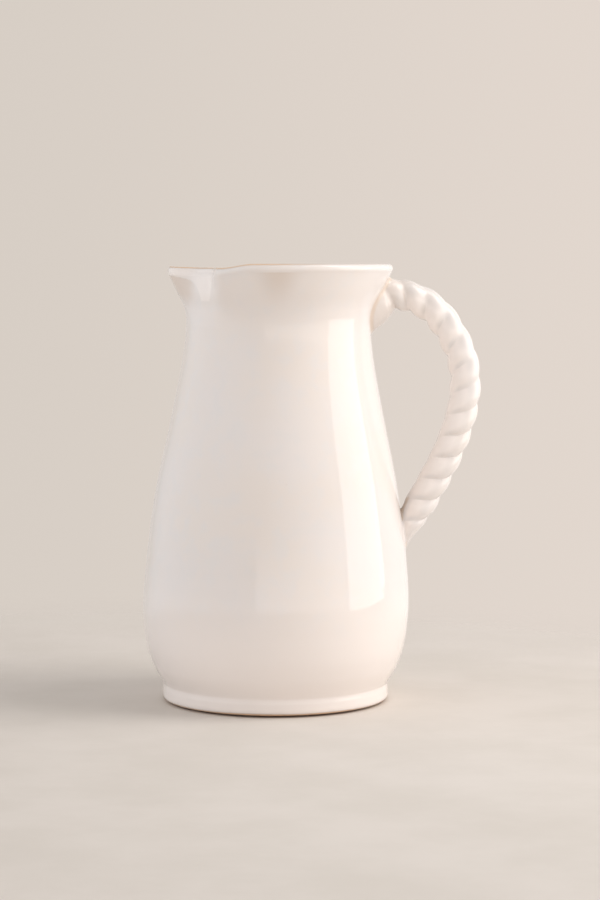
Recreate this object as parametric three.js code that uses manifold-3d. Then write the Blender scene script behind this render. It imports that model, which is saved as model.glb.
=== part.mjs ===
// Glazed ceramic pitcher: a thrown jug with a pinched pouring lip, a rounded mouth, a plinth
// foot ring and a rope handle twisted from two coils of clay.
// Millimetres, +Z up. The origin is the centre of the flat underside. The pouring lip points
// along -X and the handle along +X, so the XZ plane is the plane of symmetry of the thrown form.
import * as THREE from "three";
import { mergeVertices } from "three/addons/utils/BufferGeometryUtils.js";
import Module from "manifold-3d";

const wasm = await Module();
wasm.setup();

// ---------------------------------------------------------------- driving dimensions, mm

const HEIGHT = 254;
const MOUTH_DRIFT = 2.2; // the hand-thrown pot leans this far towards its handle at the mouth
const DRIFT_POWER = 1.25; // how late in its height the lean sets in
const GAP = 0.3; // clearance between neighbouring pieces, where slip would bond them
const AROUND = 56; // facets around every turned piece
const OUTSIDE_STEPS = 22; // facets up the outside of the wall
const INSIDE_STEPS = 16;

const FOOT_RADIUS = 65.8;
const FOOT_HEIGHT = 11.5;
const FOOT_EDGE = 2.8; // width of the foot's rounded lower corner
const FOOT_EDGE_HEIGHT = 5;
const FOOT_SHOULDER = 0.6; // width of the bevel under the belly
const FOOT_SHOULDER_HEIGHT = 1.5;
const SOCKET_RADIUS = 56; // the base of the body that the foot ring is wrapped around

const WALL = 5; // wall thickness, thinning to LIP_WALL at the mouth
const LIP_WALL = 4.2;
const FLOOR_TOP = 9;

const LIP_HEIGHT = 4.8; // the rounded bead that finishes the mouth
const LIP_OVERHANG = 0.7; // how far the bead stands proud of the flared wall
const LIP_ROUND = 2.4; // width of the bead's rounded upper edge
const LIP_SEAT = 1; // width of the rounding where the bead sits on the wall
const MOUTH_RADIUS = 65.2; // outside of the wall just below the bead
const NECK_RADIUS = 53.9;

// Outside of the thrown wall: [height, radius], smooth through every point.
const WALL_OUTLINE = [
  [FOOT_HEIGHT + GAP, 66.3],
  [22, 71.7],
  [36, 75.9],
  [56, 77.6],
  [80, 76.2],
  [105, 73.4],
  [130, 69.3],
  [155, 64],
  [180, 59],
  [200, 55.4],
  [216, NECK_RADIUS],
  [228, 55.5],
  [240, 60.9],
  [HEIGHT - LIP_HEIGHT, MOUTH_RADIUS],
];

// The rounded corner between the floor and the wall on the inside: [height, radius].
const FLOOR_CORNER = [
  [FLOOR_TOP, 40],
  [FLOOR_TOP + 1.2, 52],
  [FLOOR_TOP + 5, 61.5],
];

// Pouring lip: the wall is pinched inwards on both sides of the spout, which leaves a beak.
const PINCH_BEARING = 35; // degrees from the spout's centre line
const PINCH_WIDTH = 19; // degrees
const PINCH_RADIUS = 53.8; // the outside of the wall just below the bead, where it is pinched most
const PINCH_POWER = 1.7; // the pinch deepens ever faster towards the rim
const PINCH_TOP = 251.5; // above this height it gets no deeper
const PULL_BOTTOM = 218; // below this height the wall is still round
const RIM_DIP = 2.2; // how far the pulled rim sinks beside the beak
const DIP_FADES = [60, 78]; // bearings between which the rim comes level again
const TIP_LIFT = 0.9; // how far the beak's tip rises again
const TIP_HALF_ANGLE = 30; // degrees
const BEAK_SET_BACK = 1.3; // how much less the beak flares than the rest of the mouth
const BEAK_HALF_ANGLE = 45; // degrees over which that fades out
const BEAK_RISES = [212, 232]; // heights between which it sets in
const SPOUT_HALF_WIDTH = 47; // the tongue of wall that was worked into the lip
const SPOUT_BOTTOM = 224;
const SPOUT_ROUNDING = 8; // how square the tongue's lower corners are
const SPOUT_BACK = -10; // the cut round it stays on the spout's side of the mouth
const SPOUT_DEPTH = 70;

const ROPE_RADIUS = 9.1; // over the crest of a coil
const GROOVE_DEPTH = 1.3; // where the two coils meet
const LAY_AT_TOP = 20; // length of one full turn of the twist, which soon loosens
const LAY_BELOW = 28;
const LAY_LOOSENS_OVER = 17;
const TWIST_START = 87; // degrees of twist at the upper root
const ROPE_STEPS = 104;
const HALF_SECTION_STEPS = 7;
const ROOT_FACETS = 20;
const SPAN_DIVISIONS = 20; // how finely the handle's line is measured between two stations

// The handle's centre line lies in the XZ plane. It starts inside the neck's wall, runs over
// the top and ends inside the belly's wall. The roots are oval: [x, z, half height, half width].
const UPPER_ROOT = [
  [50, 230, 17, 14],
  [58, 232.8, 14.4, 12.4],
  [63.5, 235, 11.6, 10.6],
  [70, 236.2, ROPE_RADIUS, ROPE_RADIUS],
];
const ROPE_LINE = [
  [82, 233.5],
  [93.5, 225.7],
  [102.2, 213.5],
  [108.5, 199],
  [110.3, 182],
  [107.8, 165.8],
  [101.2, 146.6],
  [92.6, 129],
];
const LOWER_ROOT = [
  [83, 112, ROPE_RADIUS, ROPE_RADIUS],
  [79.2, 105, 7.6, 8.2],
  [76, 97.5, 5.2, 6.6],
  [74.6, 90.5, 2, 3],
];

// ---------------------------------------------------------------- materials

const GLAZE = { color: 0xf2ece4, roughness: 0.12, metalness: 0 };
const FOOT_GLAZE = { color: 0xefe6dc, roughness: 0.2, metalness: 0 };

// ---------------------------------------------------------------- helpers

const { clamp, degToRad, lerp, radToDeg, smoothstep } = THREE.MathUtils;

// A smooth curve through [height, radius] pairs, as Vector2(radius, height) points.
function outline(pairs, steps, inset = 0) {
  const curve = new THREE.SplineCurve(pairs.map(([z, r]) => new THREE.Vector2(r, z)));
  return curve.getSpacedPoints(steps).map((p, i) => {
    const tangent = curve.getTangentAt(i / steps);
    return new THREE.Vector2(p.x - inset * tangent.y, p.y + inset * tangent.x);
  });
}

// Turns a profile of Vector2(radius, height) about the Z axis.
function turned(profile) {
  return new THREE.LatheGeometry(profile, AROUND).rotateX(Math.PI / 2);
}

// Moves every vertex of a turned piece to where the pinched, leaning pot has it.
function shaped(geometry) {
  const position = geometry.getAttribute("position");
  const v = new THREE.Vector3();
  for (let i = 0; i < position.count; i++) {
    v.fromBufferAttribute(position, i);
    const bearing = radToDeg(Math.abs(Math.atan2(v.y, -v.x)));
    const rise = smoothstep(v.z, PULL_BOTTOM, HEIGHT - LIP_HEIGHT);
    const pressed = clamp(v.z, PULL_BOTTOM, PINCH_TOP) - PULL_BOTTOM;
    const press = (pressed / (HEIGHT - LIP_HEIGHT - PULL_BOTTOM)) ** PINCH_POWER;
    const pinch = press * Math.exp(-(((bearing - PINCH_BEARING) / PINCH_WIDTH) ** 4));
    const beak = Math.exp(-((bearing / BEAK_HALF_ANGLE) ** 2)) * smoothstep(v.z, ...BEAK_RISES);
    const inwards = (MOUTH_RADIUS - PINCH_RADIUS) * pinch + BEAK_SET_BACK * beak;
    const radius = Math.hypot(v.x, v.y);
    if (radius > 0) {
      v.x *= (radius - inwards) / radius;
      v.y *= (radius - inwards) / radius;
    }
    const dip = RIM_DIP * (1 - smoothstep(bearing, ...DIP_FADES));
    const lift = TIP_LIFT * (1 - smoothstep(bearing, 0, TIP_HALF_ANGLE));
    v.z -= (dip - lift) * rise;
    v.x += MOUTH_DRIFT * (Math.max(v.z, 0) / HEIGHT) ** DRIFT_POWER;
    position.setXYZ(i, v.x, v.y, v.z);
  }
  return geometry;
}

function solid(geometry) {
  const bare = geometry.index ? geometry.toNonIndexed() : geometry.clone();
  bare.deleteAttribute("normal");
  bare.deleteAttribute("uv");
  const merged = mergeVertices(bare, 1e-4);
  return new wasm.Manifold(
    new wasm.Mesh({
      numProp: 3,
      vertProperties: merged.getAttribute("position").array,
      triVerts: new Uint32Array(merged.index.array),
    }),
  );
}

function fromSolid(manifold) {
  const mesh = manifold.getMesh();
  const geometry = new THREE.BufferGeometry();
  geometry.setAttribute("position", new THREE.BufferAttribute(mesh.vertProperties, 3));
  geometry.setIndex(new THREE.BufferAttribute(mesh.triVerts, 1));
  geometry.computeVertexNormals();
  return geometry;
}

// A closed skin over a row of rings that all have the same number of points.
function lofted(rings) {
  const count = rings[0].length;
  const points = rings.flat();
  const triangles = [];
  for (let r = 0; r + 1 < rings.length; r++) {
    for (let i = 0; i < count; i++) {
      const j = (i + 1) % count;
      const a = r * count;
      const b = a + count;
      triangles.push(a + i, a + j, b + j, a + i, b + j, b + i);
    }
  }
  const last = (rings.length - 1) * count;
  for (let i = 1; i + 1 < count; i++) {
    triangles.push(0, i + 1, i);
    triangles.push(last, last + i, last + i + 1);
  }
  const geometry = new THREE.BufferGeometry();
  geometry.setFromPoints(points);
  geometry.setIndex(triangles);
  geometry.computeVertexNormals();
  return geometry;
}

function piece(name, geometry, finish) {
  const mesh = new THREE.Mesh(geometry, new THREE.MeshStandardMaterial(finish));
  mesh.name = name;
  return mesh;
}

// ---------------------------------------------------------------- the thrown pot

// Wall and floor in one, with the plain cylindrical base that the foot ring goes round.
function thrownPot() {
  const outside = outline(WALL_OUTLINE, OUTSIDE_STEPS);
  const inside = WALL_OUTLINE.slice(1).map(([z, r], i, rows) => {
    const thickness = lerp(WALL, LIP_WALL, i / (rows.length - 1));
    return [z, r - thickness];
  });
  return shaped(
    turned([
      new THREE.Vector2(0, 0),
      new THREE.Vector2(SOCKET_RADIUS, 0),
      new THREE.Vector2(SOCKET_RADIUS, FOOT_HEIGHT + GAP),
      ...outside,
      ...outline([...FLOOR_CORNER, ...inside], INSIDE_STEPS).reverse(),
      new THREE.Vector2(0, FLOOR_TOP),
    ]),
  );
}

// The pot's outside as one block, a little oversize: what the handle's roots are fitted to.
function potBlock() {
  return shaped(
    turned([
      new THREE.Vector2(0, 0),
      ...outline(WALL_OUTLINE, OUTSIDE_STEPS, -GAP),
      new THREE.Vector2(MOUTH_RADIUS + LIP_OVERHANG + GAP, HEIGHT - LIP_HEIGHT),
      new THREE.Vector2(MOUTH_RADIUS + LIP_OVERHANG + GAP, HEIGHT),
      new THREE.Vector2(0, HEIGHT),
    ]),
  );
}

// The tongue-shaped stretch of wall that was worked into the pouring lip, as a cutter.
function spoutCutter(margin) {
  const half = SPOUT_HALF_WIDTH + margin;
  const bottom = SPOUT_BOTTOM - margin;
  const corner = bottom + SPOUT_ROUNDING;
  const top = HEIGHT + SPOUT_ROUNDING;
  const tongue = new THREE.Shape();
  tongue.moveTo(-half, top);
  tongue.bezierCurveTo(-half, corner, -half / 2, bottom, 0, bottom);
  tongue.bezierCurveTo(half / 2, bottom, half, corner, half, top);
  const block = new THREE.ExtrudeGeometry(tongue, {
    depth: SPOUT_DEPTH,
    bevelEnabled: false,
    curveSegments: 8,
  });
  // The shape is drawn across Y and up Z, and is extruded along X up to the pinches.
  const toPot = new THREE.Matrix4().makeBasis(
    new THREE.Vector3(0, 1, 0),
    new THREE.Vector3(0, 0, 1),
    new THREE.Vector3(1, 0, 0),
  );
  return block.applyMatrix4(toPot).translate(SPOUT_BACK - SPOUT_DEPTH, 0, 0);
}

// The plinth ring, wrapped round the base of the pot.
function footRing() {
  const inner = SOCKET_RADIUS + GAP;
  const edge = new THREE.Path();
  edge.moveTo(inner, 0);
  edge.lineTo(FOOT_RADIUS - FOOT_EDGE, 0);
  edge.quadraticCurveTo(FOOT_RADIUS, 0, FOOT_RADIUS, FOOT_EDGE_HEIGHT);
  edge.lineTo(FOOT_RADIUS, FOOT_HEIGHT - FOOT_SHOULDER_HEIGHT);
  edge.lineTo(FOOT_RADIUS - FOOT_SHOULDER, FOOT_HEIGHT);
  edge.lineTo(inner, FOOT_HEIGHT);
  edge.lineTo(inner, 0);
  return shaped(turned(edge.getPoints(4)));
}

// The rounded bead around the mouth, which runs on over the pouring lip.
function mouthBead() {
  const low = HEIGHT - LIP_HEIGHT + GAP;
  const outer = MOUTH_RADIUS + LIP_OVERHANG;
  const inner = MOUTH_RADIUS - LIP_WALL;
  const middle = (low + HEIGHT) / 2;
  const bead = new THREE.Path();
  bead.moveTo(inner + LIP_SEAT, low);
  bead.lineTo(outer - LIP_SEAT, low);
  bead.quadraticCurveTo(outer, low, outer, middle);
  bead.quadraticCurveTo(outer, HEIGHT, outer - LIP_ROUND, HEIGHT);
  bead.lineTo(inner + LIP_ROUND, HEIGHT);
  bead.quadraticCurveTo(inner, HEIGHT, inner, middle);
  bead.quadraticCurveTo(inner, low, inner + LIP_SEAT, low);
  return shaped(turned(bead.getPoints(2)));
}

// ---------------------------------------------------------------- the handle

const block = solid(potBlock());
const stations = [...UPPER_ROOT, ...ROPE_LINE, ...LOWER_ROOT];
const handleLine = new THREE.CatmullRomCurve3(
  stations.map(([x, z]) => new THREE.Vector3(x, 0, z)),
);
const arcs = handleLine.getLengths((stations.length - 1) * SPAN_DIVISIONS);
const handleLength = arcs[arcs.length - 1];
const arcAtStation = (index) => arcs[index * SPAN_DIVISIONS];

// The ring of a section square to the handle's line, an arc length along it. Each point of the
// section is [away from the pot, towards -Y].
function sectionRing(arc, section) {
  const centre = handleLine.getPointAt(arc / handleLength);
  const tangent = handleLine.getTangentAt(arc / handleLength);
  const outward = new THREE.Vector3(-tangent.z, 0, tangent.x);
  const side = new THREE.Vector3().crossVectors(tangent, outward);
  return section.map(([out, across]) =>
    centre.clone().addScaledVector(outward, out).addScaledVector(side, across),
  );
}

// Half of the rope's section: one coil, pressed flat where it meets the other.
const coilSection = [];
for (let j = 0; j <= HALF_SECTION_STEPS; j++) {
  const angle = Math.PI * (j / HALF_SECTION_STEPS - 0.5);
  const crest = Math.sqrt(Math.max(Math.cos(angle), 0));
  const radius = ROPE_RADIUS - GROOVE_DEPTH * (1 - crest);
  coilSection.push([radius * Math.cos(angle) + GAP / 2, radius * Math.sin(angle)]);
}

// One of the two coils, turning as it follows the handle's line from root to root.
function ropeCoil(phase) {
  const from = arcAtStation(UPPER_ROOT.length - 1) + GAP;
  const to = arcAtStation(stations.length - LOWER_ROOT.length) - GAP;
  const step = (to - from) / ROPE_STEPS;
  const rings = [];
  let twist = degToRad(TWIST_START) + phase;
  for (let i = 0; i <= ROPE_STEPS; i++) {
    const arc = from + step * i;
    const turn = new THREE.Vector2();
    const section = coilSection.map(([x, y]) =>
      turn.set(x, y).rotateAround(new THREE.Vector2(), twist).toArray(),
    );
    rings.push(sectionRing(arc, section));
    const loosened = smoothstep(arc + step / 2, from, from + LAY_LOOSENS_OVER);
    twist += (2 * Math.PI * step) / lerp(LAY_AT_TOP, LAY_BELOW, loosened);
  }
  return lofted(rings);
}

// A root: oval sections at consecutive stations, fitted to the outside of the pot.
function root(sections, firstStation) {
  const rings = sections.map(([, , halfHeight, halfWidth], i) => {
    const oval = new THREE.EllipseCurve(0, 0, halfHeight, halfWidth);
    const section = oval.getPoints(ROOT_FACETS).slice(0, ROOT_FACETS);
    return sectionRing(
      arcAtStation(firstStation + i),
      section.map((p) => p.toArray()),
    );
  });
  return fromSolid(solid(lofted(rings)).subtract(block));
}

// ---------------------------------------------------------------- assembly

const pot = solid(thrownPot());
const lip = pot.intersect(solid(spoutCutter(-GAP / 2)));
const body = pot.subtract(solid(spoutCutter(GAP / 2)));

const pitcher = new THREE.Group();
pitcher.add(
  piece("body", fromSolid(body), GLAZE),
  piece("foot_ring", footRing(), FOOT_GLAZE),
  piece("pouring_lip", fromSolid(lip), GLAZE),
  piece("mouth_bead", mouthBead(), GLAZE),
  piece("handle_coil_1", ropeCoil(0), GLAZE),
  piece("handle_coil_2", ropeCoil(Math.PI), GLAZE),
  piece("handle_upper_root", root(UPPER_ROOT, 0), GLAZE),
  piece("handle_lower_root", root(LOWER_ROOT, stations.length - LOWER_ROOT.length), GLAZE),
);

export default pitcher;
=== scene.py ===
"""Looks of the glazed pitcher: a thrown pot with a pinched lip, a plinth foot and a rope handle.

Shapes are worked out in design millimetres, +Z up, the lip along -X and the handle along +X, and
become metres with UNIT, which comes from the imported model's height.
"""

import math

import bpy
import numpy as np
from mathutils import Matrix, Quaternion, Vector


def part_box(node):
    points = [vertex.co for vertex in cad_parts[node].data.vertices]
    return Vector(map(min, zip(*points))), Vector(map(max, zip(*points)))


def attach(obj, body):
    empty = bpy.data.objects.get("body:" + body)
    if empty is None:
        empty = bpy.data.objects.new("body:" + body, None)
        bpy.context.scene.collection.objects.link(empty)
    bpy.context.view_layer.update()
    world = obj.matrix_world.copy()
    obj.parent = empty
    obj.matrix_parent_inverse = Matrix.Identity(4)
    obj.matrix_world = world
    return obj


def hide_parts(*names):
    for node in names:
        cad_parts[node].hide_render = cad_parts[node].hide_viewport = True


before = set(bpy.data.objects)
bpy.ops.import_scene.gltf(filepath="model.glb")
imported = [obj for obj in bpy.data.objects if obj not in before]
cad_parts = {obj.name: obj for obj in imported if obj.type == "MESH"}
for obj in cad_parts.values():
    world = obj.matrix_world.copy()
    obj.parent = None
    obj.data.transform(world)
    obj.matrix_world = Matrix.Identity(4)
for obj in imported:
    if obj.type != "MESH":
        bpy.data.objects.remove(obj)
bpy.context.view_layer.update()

# ---------------------------------------------------------------- sizes, design mm

HEIGHT = 254
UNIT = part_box("mouth_bead")[1].z / HEIGHT  # metres in one design millimetre
foot_low, foot_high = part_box("foot_ring")
FOOT_RADIUS = (foot_high.y - foot_low.y) / 2 / UNIT
FOOT_HEIGHT = foot_high.z / UNIT

MOUTH_DRIFT = 2.2  # how far the hand-thrown pot leans towards its handle at the mouth
DRIFT_POWER = 1.25
LIP_HEIGHT = 4.8  # the bead round the mouth
MOUTH_RADIUS = 65.2
LIP_WALL = 4.2
WALL = 5
SEAM_HEIGHT = HEIGHT - LIP_HEIGHT  # where the bead sits on the wall
SOCKET_RADIUS = 56.15  # where the foot ring goes round the base of the body
UNDERSIDE_RECESS = 0.9
GLAZE_SOFTNESS = 0.42  # how far the glaze rounds the corners of the section

# Outside of the thrown wall: height, radius.
WALL_OUTLINE = [
    (FOOT_HEIGHT + 1, 66.5),
    (22, 71.7),
    (36, 75.9),
    (56, 77.6),
    (80, 76.2),
    (105, 73.4),
    (130, 69.3),
    (155, 64),
    (180, 59),
    (200, 55.4),
    (216, 53.9),
    (228, 55.5),
    (240, 60.9),
    (SEAM_HEIGHT, MOUTH_RADIUS),
]
# The corner between the floor and the wall on the inside: height, radius.
FLOOR_CORNER = [(9, 40), (10.2, 52), (14, 61.5)]
# Over the bead, from the outside of the wall to the inside: height, radius.
BEAD_OUTLINE = [
    (SEAM_HEIGHT + 1.2, MOUTH_RADIUS + 0.6),
    (SEAM_HEIGHT + 2.6, MOUTH_RADIUS + 0.7),
    (HEIGHT - 0.9, MOUTH_RADIUS),
    (HEIGHT, MOUTH_RADIUS - 1.8),
    (HEIGHT - 0.3, MOUTH_RADIUS - 3.1),
    (HEIGHT - 1.7, MOUTH_RADIUS - LIP_WALL - 0.1),
]
# The foot, from where it meets the body's underside round to the crease below the belly.
FOOT_OUTLINE = [
    (UNDERSIDE_RECESS, SOCKET_RADIUS),
    (0, SOCKET_RADIUS + 1),
    (0, FOOT_RADIUS - 7.6),
    (0.7, FOOT_RADIUS - 6),
    (1, FOOT_RADIUS - 2.4),
    (1.4, FOOT_RADIUS - 1),
    (2.3, FOOT_RADIUS - 0.35),
    (3.6, FOOT_RADIUS),
    (FOOT_HEIGHT - 4, FOOT_RADIUS - 0.1),
    (FOOT_HEIGHT - 2.4, FOOT_RADIUS - 0.3),
    (FOOT_HEIGHT - 1, FOOT_RADIUS - 0.4),
]

# The pouring lip.
PINCH_BEARING = 35  # degrees from the spout's centre line
PINCH_WIDTH = 19
PINCH_FLATNESS = 4
PINCH_RADIUS = 53.8
PINCH_POWER = 1.7  # the thumbs press hardest at the rim
PINCH_TOP = 251.5
PULL_BOTTOM = 218
RIM_DIP = 2.2
DIP_FADES = (60, 78)
LIP_THINNING = 0.5  # the lip loses this share of the rim's thickness, from the inside
THINNING_FADES = (50, 66)
THINNING_RISES = (236, 250)
TIP_LIFT = 0.9
TIP_HALF_ANGLE = 30
BEAK_SET_BACK = 1.3
BEAK_HALF_ANGLE = 45
BEAK_RISES = (212, 232)
LIP_HALF_ANGLE = 49.5  # how far round the tongue of worked wall reaches at the mouth
LIP_BOTTOM = 224
TONGUE_POWER = 3.5

# What the thrower's hand leaves on the outside: fine rings, and slow dents round the pot.
RING_PITCH = 11
RING_DEPTH = 0.02
DENT_DEPTH = 0.16
HAND_STARTS = (14, 40)
HAND_ENDS = (225, 245)

# The handle.
ROPE_RADIUS = 9.1
GROOVE_DEPTH = (1.7, 1.8)  # at the top and lower down
SOFT_GROOVE = 0.55  # how much glaze fills the groove, as a share of the coil, at the top
SHARP_GROOVE = 0.1  # and lower down
GROOVE_SHARPENS = (0.38, 0.62)  # share of the way down the rope
GROOVE_STARTS = (-15, 3)  # the grooves deepen along here, counted from the rope's upper end
GROOVE_ENDS = (4, 12)  # and fade out here, counted from its lower end
GROOVE_LEAN = 0.1  # the grooves cross the sides of the handle more squarely than its back
INNER_SMOOTHING = (0.1, 0.8)  # how far the grooves are smoothed away on the inner side: top, bottom
INNER_TURN = (-0.1, 0.9)  # how far round that side starts and is full, as minus a cosine
OUTER_SMOOTHING = 0.5  # and on the outer side of the upper half
OUTER_TURN = (0.1, 0.9)
LAY_AT_TOP = 20  # length of one full turn of the twist
LAY_BELOW = 28
LAY_LOOSENS_OVER = 17  # the twist changes from one to the other over this length
TWIST_START = 87  # degrees
# Centre line and half sizes of the handle: x, z, half height, half width.
HANDLE = [
    (50, 230, 17, 14),
    (58, 232.8, 14.4, 12.4),
    (63.5, 235, 11.6, 10.6),
    (70, 236.2, ROPE_RADIUS, ROPE_RADIUS),
    (82, 233.5, ROPE_RADIUS, ROPE_RADIUS),
    (93.5, 225.7, ROPE_RADIUS, ROPE_RADIUS),
    (102.2, 213.5, ROPE_RADIUS, ROPE_RADIUS),
    (108.5, 199, ROPE_RADIUS, ROPE_RADIUS),
    (110.3, 182, ROPE_RADIUS, ROPE_RADIUS),
    (107.8, 165.8, ROPE_RADIUS, ROPE_RADIUS),
    (101.2, 146.6, ROPE_RADIUS, ROPE_RADIUS),
    (92.6, 129, ROPE_RADIUS, ROPE_RADIUS),
    (83, 112, ROPE_RADIUS, ROPE_RADIUS),
    (79.2, 105, 7.6, 8.2),
    (76, 97.5, 5.2, 6.6),
    (74.6, 90.5, 2, 3),
    (73.4, 85, 0.6, 1.2),
]
UPPER_STATION = 3  # the rope starts here
LOWER_STATION = 12  # and ends here
STATION_EASE = 1.6  # how softly one station's half sizes go over into the next one's
UPPER_FILLET = 2.4
LOWER_FILLET = 1.8
ROOT_SINKS = 0.03  # the fillet's edge ends this far inside the wall
ROOT_DEPTH = 3  # and the hidden end behind it this far

# How finely the surfaces are made.
COLUMNS = 400  # round the pot
WALL_ROWS = 240
INSIDE_ROWS = 180
FLOOR_ROWS = 50
UNDERSIDE_ROWS = 40
LIP_ROWS = 40
BEAD_ROWS = 36
FOOT_ROWS = 60
COIL_COLUMNS = 60  # over the crest of one coil
ROPE_STEP = 0.5
ROOT_ROWS = 40
FILLET_ROWS = 14
SPAN_STEPS = 100  # along each span between the handle's stations
FINE = 0.1  # step of the tables along the handle
NUDGE = 0.05  # a small move on a surface, from which its slope is worked out
POT_TURN = NUDGE / 50  # the same as an angle round the pot
ROPE_TURN = NUDGE / 9  # and round the handle
WELD = 1e-4  # points are one point if they round to the same multiple of this


# ---------------------------------------------------------------- small helpers


def smoothstep(x, low, high):
    t = np.clip((x - low) / (high - low), 0, 1)
    return t * t * (3 - 2 * t)


def span(here, there, leave, arrive, steps):
    """Points on a cubic from one point up to another, with the slopes that it has at both."""
    t = np.linspace(0, 1, steps, endpoint=False)[:, None]
    return (
        (2 * here - 2 * there + leave + arrive) * t**3
        + (3 * there - 3 * here - 2 * leave - arrive) * t**2
        + leave * t
        + here
    )


def through(points, steps=24):
    """A smooth curve through every point (uniform Catmull-Rom)."""
    p = np.array(points, float)
    spans = []
    for i in range(len(p) - 1):
        before, here, there = p[max(i - 1, 0)], p[i], p[i + 1]
        after = p[min(i + 2, len(p) - 1)]
        spans.append(span(here, there, (there - before) / 2, (after - here) / 2, steps))
    return np.vstack([*spans, p[-1:]])


def lengths(points):
    """How far along a line each of its points is."""
    steps = np.linalg.norm(np.diff(points, axis=0), axis=1)
    return np.concatenate([[0], np.cumsum(steps)])


def resampled(points, step):
    along = lengths(points)
    wanted = np.linspace(0, along[-1], int(along[-1] / step) + 1)
    return np.stack([np.interp(wanted, along, points[:, k]) for k in range(points.shape[1])], 1)


def softened(points, radius, step=0.1):
    """The polyline with its corners rounded, as glaze rounds them. Its ends stay where they are."""
    p = resampled(points, step)
    reach = int(3 * radius / step)
    kernel = np.exp(-0.5 * (np.arange(-reach, reach + 1) * step / radius) ** 2)
    kernel /= kernel.sum()
    ahead = 2 * p[0] - p[reach:0:-1]
    behind = 2 * p[-1] - p[-2 : -reach - 2 : -1]
    padded = np.vstack([ahead, p, behind])
    return np.stack([np.convolve(padded[:, k], kernel, "valid") for k in range(p.shape[1])], 1)


def unit(v):
    size = np.linalg.norm(v, axis=-1, keepdims=True)
    return v / np.where(size < 1e-9, 1, size)


def two_ended(count):
    """0 to 1 in steps that are shorter near both ends."""
    t = np.linspace(0, 1, count)
    return t - 0.85 * np.sin(2 * math.pi * t) / (2 * math.pi)


# ---------------------------------------------------------------- the pot's surface

wall_outside = through(WALL_OUTLINE)
inside_points = [
    (z, r - WALL + (WALL - LIP_WALL) * i / (len(WALL_OUTLINE) - 2))
    for i, (z, r) in enumerate(WALL_OUTLINE[1:])
]
wall_inside = through([*FLOOR_CORNER, *inside_points])
bead = through([wall_outside[-1], *BEAD_OUTLINE, wall_inside[-1]])

# The whole section as one softened line: underside, foot, outside, bead, inside and floor.
section = softened(
    np.vstack(
        [
            [(UNDERSIDE_RECESS, 0), (UNDERSIDE_RECESS, SOCKET_RADIUS)],
            FOOT_OUTLINE[1:],
            wall_outside,
            bead[1:-1],
            wall_inside[::-1],
            [(FLOOR_CORNER[0][0], 0)],
        ]
    ),
    GLAZE_SOFTNESS,
)
section_at = lengths(section)
SECTION_LENGTH = section_at[-1]


def along_section(z, r):
    """How far along the section its point nearest to a height and radius is."""
    return section_at[np.argmin(np.hypot(section[:, 0] - z, section[:, 1] - r))]


AT_SOCKET = along_section(UNDERSIDE_RECESS, SOCKET_RADIUS)
AT_CREASE = along_section(FOOT_HEIGHT, FOOT_RADIUS - 0.2)
AT_TOP = section_at[np.argmax(section[:, 0])]
AT_FLOOR_CORNER = along_section(*FLOOR_CORNER[-1])

outside = (section_at >= AT_CREASE) & (section_at <= AT_TOP)
inside = (section_at >= AT_TOP) & (section_at <= AT_FLOOR_CORNER)


def at_outside(z):
    return np.interp(z, section[outside, 0], section_at[outside])


def at_inside(z):
    return np.interp(z, section[inside, 0][::-1], section_at[inside][::-1])


def wall_radius(z):
    return np.interp(z, section[outside, 0], section[outside, 1])


AT_OUTER_SEAM = at_outside(SEAM_HEIGHT)
AT_INNER_SEAM = at_inside(SEAM_HEIGHT)


def drift(z):
    """How far the pot's axis is off towards the handle at a height."""
    return MOUTH_DRIFT * (np.maximum(z, 0) / HEIGHT) ** DRIFT_POWER


def hand_of_thrower(z, bearing):
    """How far the outside falls short of its true outline: soft throwing rings and dents.

    The numbers inside the sines have no meaning but to scatter the dents.
    """
    rings = 1 + np.sin(2 * math.pi * z / RING_PITCH + 0.5 * np.sin(bearing))
    dents = 1 + np.sin(z / 13 + 1.7 * np.sin(bearing + 0.6)) * np.sin(2 * bearing + z / 60)
    inwards = RING_DEPTH * rings + DENT_DEPTH * dents
    return inwards * smoothstep(z, *HAND_STARTS) * (1 - smoothstep(z, *HAND_ENDS))


def pot(at, bearing):
    """Points on the finished pot, for places along its section and bearings round it (radians)."""
    z = np.interp(at, section_at, section[:, 0])
    r = np.interp(at, section_at, section[:, 1])
    r = r - np.where(at < AT_OUTER_SEAM, hand_of_thrower(z, bearing), 0)
    degrees = np.abs(np.degrees(bearing))
    rise = smoothstep(z, PULL_BOTTOM, SEAM_HEIGHT)
    outer = np.interp(z, wall_outside[:, 0], wall_outside[:, 1])
    thinning = LIP_THINNING * (1 - smoothstep(degrees, *THINNING_FADES)) * smoothstep(z, *THINNING_RISES)
    r = r - (r - outer) * thinning * (z > PULL_BOTTOM)
    pressed = np.clip(z, PULL_BOTTOM, PINCH_TOP) - PULL_BOTTOM
    press = (pressed / (SEAM_HEIGHT - PULL_BOTTOM)) ** PINCH_POWER
    pinch = press * np.exp(-(((degrees - PINCH_BEARING) / PINCH_WIDTH) ** PINCH_FLATNESS))
    beak = np.exp(-((degrees / BEAK_HALF_ANGLE) ** 2)) * smoothstep(z, *BEAK_RISES)
    r = r - (MOUTH_RADIUS - PINCH_RADIUS) * pinch - BEAK_SET_BACK * beak
    dip = RIM_DIP * (1 - smoothstep(degrees, *DIP_FADES))
    lift = TIP_LIFT * (1 - smoothstep(degrees, 0, TIP_HALF_ANGLE))
    z = z - (dip - lift) * rise
    return np.stack([drift(z) - r * np.cos(bearing), -r * np.sin(bearing), z], -1)


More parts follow.
